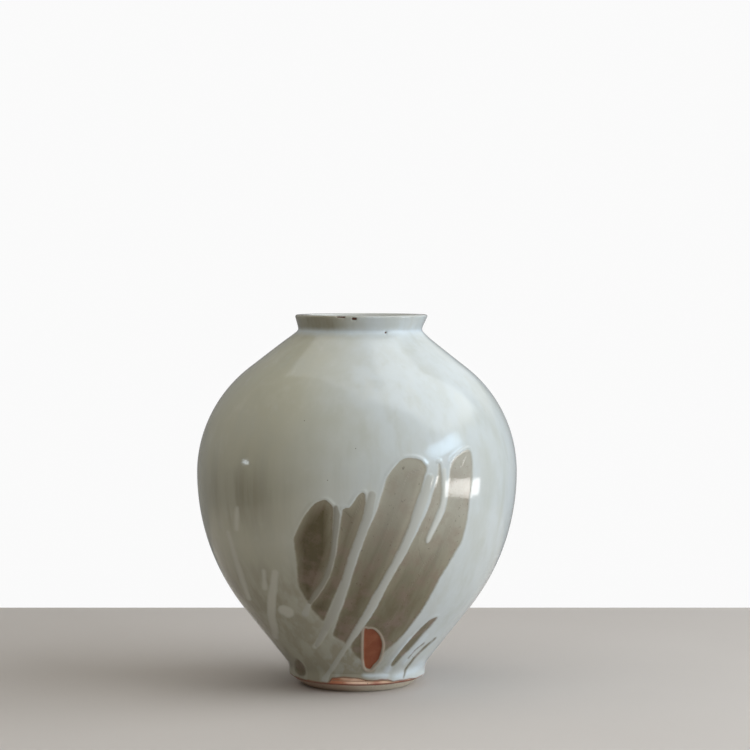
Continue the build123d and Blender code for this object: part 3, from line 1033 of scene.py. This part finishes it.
def flash_colour(finish, cloud, side):
    """The orange flash above the bevel, peach in front, partly as a painted highlight, and ember-red beside
    it.
    """
    flash = finish.mix(finish.step(cloud, 0.4, 0.6), RED_FLASH, LIGHT_FLASH)
    # Peach patch in front, partly a painted highlight on the flashed band.
    peach = finish.step(side, -0.012, 0.0) * finish.step(-side, -0.011, -0.005)
    flash = finish.mix(peach * 0.6, flash, PEACH_FLASH_AND_HIGHLIGHT)
    ember = finish.step(side, 0.008, 0.012) * finish.step(-side, -0.017, -0.013)
    return finish.mix(ember * 0.6, flash, EMBER_FLASH)


def clay_finish():
    finish = Finish("bare stoneware")
    place = finish.place()
    grit = finish.noise(place, 600.0, 4.0, 0.65)
    cloud = finish.noise(place, 60.0, 3.0, 0.55)
    side = finish.axis(0)
    up = finish.axis(2)
    # Darker and redder on the left, paler on the right: partly its own colour and partly painted shade.
    body = finish.mix(finish.step(side + (cloud - 0.5) * 0.03, -0.03, 0.02), BROWN_SHADED_BODY, PALE_LIT_BODY)
    flashed = finish.step(up + (cloud - 0.5) * 0.002, 0.0048, 0.0064)
    colour = finish.mix(flashed, body, flash_colour(finish, cloud, side))
    line = finish.step(up + (cloud - 0.5) * 0.001, 0.0048, 0.0056) * finish.step(-up, -0.0068, -0.0061)
    colour = finish.mix(line * 0.8, colour, SCORCHED_LINE)
    colour = finish.mix(finish.step(grit, 0.62, 0.72) * 0.6, colour, DARK_GRIT)
    skin = finish.bump(grit, 0.35, 0.0005)
    return finish.surface(Base_Color=colour, Roughness=0.62 + grit * 0.3, Normal=skin)


clay = clay_finish()
foot.data.materials.append(clay)
print("clay finish has", len(clay.node_tree.nodes), "nodes")

# %% [markdown]
# The pieces were joined with slip, a cream of the same clay, which fires a little lighter. The lower
# bowl and two of the joints keep the meshes of the packed model, because the coat and the foot hide
# nearly all of them. They get the same clay and a finish for the joining slip.

# %% Joining slip
DARK_LUTING = (0.36, 0.16, 0.09, 1)
LIGHT_LUTING = (0.50, 0.31, 0.20, 1)


def luting_finish():
    finish = Finish("joining slip")
    grit = finish.noise(finish.place(), 500.0, 3.0, 0.6)
    colour = finish.mix(grit, DARK_LUTING, LIGHT_LUTING)
    return finish.surface(Base_Color=colour, Roughness=0.8, Normal=finish.bump(grit, 0.3, 0.0004))


luting = luting_finish()
finishes = {"lower_bowl": clay, "foot_luting_slip": luting, "belly_luting_slip": luting}
for name, material in finishes.items():
    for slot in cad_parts[name].material_slots:
        slot.material = material
print("clay and joining slip on", ", ".join(finishes))

# %% [markdown]
# A hand-built neck rarely sits dead centre. On this jar the shoulder leans a millimetre to the right and
# the lip stands three millimetres off the axis. Turning the whole top would also tilt the lip, so each
# height is pushed straight across by its own amount. The clay of the upper bowl and the collar, and the
# slip that joins them, are thrown again here and move along with the coat and the liner.

# %% Off-centre neck
LEAN = 2.95
LEAN_HEIGHTS = [145, 215, 224, 229.8, 240]
LEAN_SHIFTS = [0, 0.7, 1.0, 1.95, LEAN]
collar_seat = neck_height - 1.6 * MM
seat_low = collar_seat - 0.6 * MM


def clay_ring(name, low, high):
    """The thrown wall between two heights: out along the coat's side, back along the liner's."""
    out = [point for point in clay_line if low < point[1] < high]
    back = [point for point in backing_line if low < point[1] < high and point not in out]
    return throw(name, out + back[::-1], front_steps=64, back_steps=96, closed=True)


bowl = clay_ring("leaning_bowl", belly_height + 1 * MM, seat_low)
collar = clay_ring("leaning_collar", collar_seat, jar_height)
joint = [(neck_radius - 7.2 * MM, seat_low), (neck_radius - 1.6 * MM, seat_low),
         (neck_radius - 1.9 * MM, collar_seat), (neck_radius - 6.9 * MM, collar_seat)]
seat = throw("leaning_neck_slip", joint, front_steps=64, back_steps=96, closed=True)
bowl.data.materials.append(clay)
collar.data.materials.append(clay)
seat.data.materials.append(luting)
for piece in (coat, liner, bowl, collar, seat):
    shift = np.interp(spots(piece)[:, 2] / MM, LEAN_HEIGHTS, LEAN_SHIFTS)
    push(piece, "lean", shift / LEAN, LEAN * MM, "X")
print("lip moved", LEAN, "mm off the axis")

# %% [markdown]
# The jar stands on a plain pale table with its far edge a third of a metre behind the jar. It is a cube
# that is stretched in edit mode, so that the object itself stays unscaled and its bevel stays even.

# %% Table
TABLE_BACK = 0.334
TABLE_SIZE = (1.1, 1.6, 0.04)
TABLE_DARK = (0.53, 0.49, 0.455, 1)
TABLE_LIGHT = (0.58, 0.54, 0.505, 1)
table = fresh("table", bpy.ops.mesh.primitive_cube_add, size=1, location=(0, 0, 0))
edit(True)
bpy.ops.transform.resize(value=TABLE_SIZE)
bpy.ops.transform.translate(value=(0, TABLE_BACK - TABLE_SIZE[1] / 2, -TABLE_SIZE[2] / 2))
bpy.ops.mesh.bevel(offset=0.003, segments=3)
edit(False)
table_finish = Finish("pale table")
table_cloud = table_finish.noise(table_finish.place(), 5.0, 3.0)
table_colour = table_finish.mix(table_cloud, TABLE_DARK, TABLE_LIGHT)
table.data.materials.append(table_finish.surface(Base_Color=table_colour, Roughness=0.7))
print("table is", " by ".join(str(side) for side in TABLE_SIZE), "m")

# %% [markdown]
# Far beyond the table is a white wall. A white wall all round would also wash out the glaze. So the
# walls that the camera sees are not mirrored, and a dim one stands there for the glaze to mirror. None of
# them lights the jar. Each is a cylinder of which a bisect leaves one half.

# %% Walls
BLACK = (0, 0, 0, 1)


def glow(piece, finish, colour, strength):
    """Makes the piece black and glowing, without any light from it on the other surfaces."""
    finish.surface(Base_Color=BLACK, Specular_IOR_Level=0, Emission_Color=colour, Emission_Strength=strength)
    piece.data.materials.append(finish.material)
    piece.visible_diffuse = False
    piece.visible_shadow = False


def wall(name, centre_angle, brightness, seen):
    """Half a round wall, behind the jar or in front, that the camera sees or else the glaze mirrors."""
    ends = "NGON" if seen else "NOTHING"
    shape = {"radius": 4, "depth": 6, "vertices": 96, "end_fill_type": ends}
    piece = fresh(name, bpy.ops.mesh.primitive_cylinder_add, **shape)
    edit(True)
    normal = (-cos(centre_angle), -sin(centre_angle), 0)
    bpy.ops.mesh.bisect(plane_co=(0, 0, 0), plane_no=normal, clear_outer=True)
    edit(False)
    glow(piece, Finish(name), (brightness, brightness, brightness, 1), 1.0)
    piece.visible_camera = seen
    piece.visible_glossy = not seen


wall("back_wall", radians(90), 0.96, seen=True)
wall("front_wall", radians(-90), 0.96, seen=True)
wall("dim_wall", radians(90), 0.24, seen=False)
print("two walls for the camera and one for the glaze")

# %% [markdown]
# Light comes from a window on the right. A bare lamp would draw hard shadows, so three large panels make
# the soft falloff across the jar: a cool one on the right, one overhead and a weak one in front. They
# stay out of its reflections, because square panels in a glaze look like a studio.

# %% Lights
DIM_ROOM = (0.09, 0.09, 0.088, 1)


def face_belly(thing, toward, distance, roll=0.0):
    """Puts a lamp or a card at a distance from the belly and turns it to face it."""
    aim = Vector((0, 0, belly_height))
    thing.location = aim + Vector(toward).normalized() * distance
    thing.rotation_euler = (aim - thing.location).to_track_quat("-Z", "Y").to_euler()
    thing.rotation_euler.rotate_axis("Z", roll)


def panel(name, toward, distance, size, power, colour):
    """A square lamp that lights the jar but isn't mirrored in the glaze."""
    data = bpy.data.lights.new(name, "AREA")
    data.size = size
    data.energy = power
    data.color = colour
    lamp = bpy.data.objects.new(name, data)
    bpy.context.scene.collection.objects.link(lamp)
    face_belly(lamp, toward, distance)
    lamp.visible_glossy = False


panel("key", (0.93, -0.22, 0.42), distance=1.7, size=2.0, power=42, colour=(0.89, 0.945, 1.0))
panel("top", (-0.35, -0.1, 1.0), distance=1.6, size=2.6, power=21, colour=(1.0, 0.975, 0.91))
panel("fill", (0.05, -1.0, 0.25), distance=1.9, size=1.8, power=4.8, colour=(1.0, 0.98, 0.94))
world = bpy.data.worlds.new("room")
bpy.context.scene.world = world
world.use_nodes = True
world.node_tree.nodes["Background"].inputs["Color"].default_value = DIM_ROOM
print("three panels lit in a dim room")

# %% [markdown]
# What the glaze mirrors is set apart from what lights it. Glowing cards stand where the glaze reflects
# them: a window, a strip of sky, a small window on the far side, a broad skylight, a pale stretch of room
# behind it and a dimmer stretch of ceiling. Their edges fade out, so that one runs into the next.

# %% Mirrored cards
CARD_DISTANCE = 1.6


def card(name, toward, size, strength, colour, fade, roll=0.0):
    """A glowing card, faded towards its edges, that is seen only as a reflection."""
    piece = fresh(name, bpy.ops.mesh.primitive_plane_add, size=1)
    piece.scale = (*size, 1)
    face_belly(piece, toward, CARD_DISTANCE, roll)
    finish = Finish(name)
    x, y = finish.axis(0), finish.axis(1)
    inside = finish.step(0.25 - x * x, 0.0, fade) * finish.step(0.25 - y * y, 0.0, fade)
    finish.surface(Alpha=inside)
    glow(piece, finish, (*colour, 1), strength)
    piece.visible_camera = False


card("window_card", (0.979, -0.155, -0.118), (0.85, 0.21), 9, (1.0, 0.97, 0.96), 0.05)
card("sky_card", (0.868, -0.35, 0.35), (1.15, 0.36), 7, (0.56, 0.78, 1.0), 0.24, radians(12))
card("far_card", (-0.9855, -0.0992, 0.135), (0.15, 0.05), 11, (0.80, 0.90, 1.0), 0.05)
card("skylight_card", (0.55, 0.05, 0.83), (1.8, 1.95), 2.2, (0.93, 0.97, 1.0), 0.15)
card("rear_card", (0.42, 0.68, 0.60), (1.2, 1.6), 1.05, (0.95, 0.98, 1.0), 0.2)
card("ceiling_card", (-0.1, 0.15, 1.0), (0.7, 1.8), 0.8, (0.95, 0.97, 1.0), 0.06)
print("six cards glow for the glaze to mirror")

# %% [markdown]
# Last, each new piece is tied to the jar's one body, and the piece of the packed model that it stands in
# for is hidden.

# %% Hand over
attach(coat, "root")
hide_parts("slip_coat", "outer_glaze")
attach(liner, "root")
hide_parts("inner_glaze")
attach(bowl, "root")
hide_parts("upper_bowl")
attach(collar, "root")
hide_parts("neck_collar")
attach(seat, "root")
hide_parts("neck_luting_slip")
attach(foot, "root")
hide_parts("foot_ring")
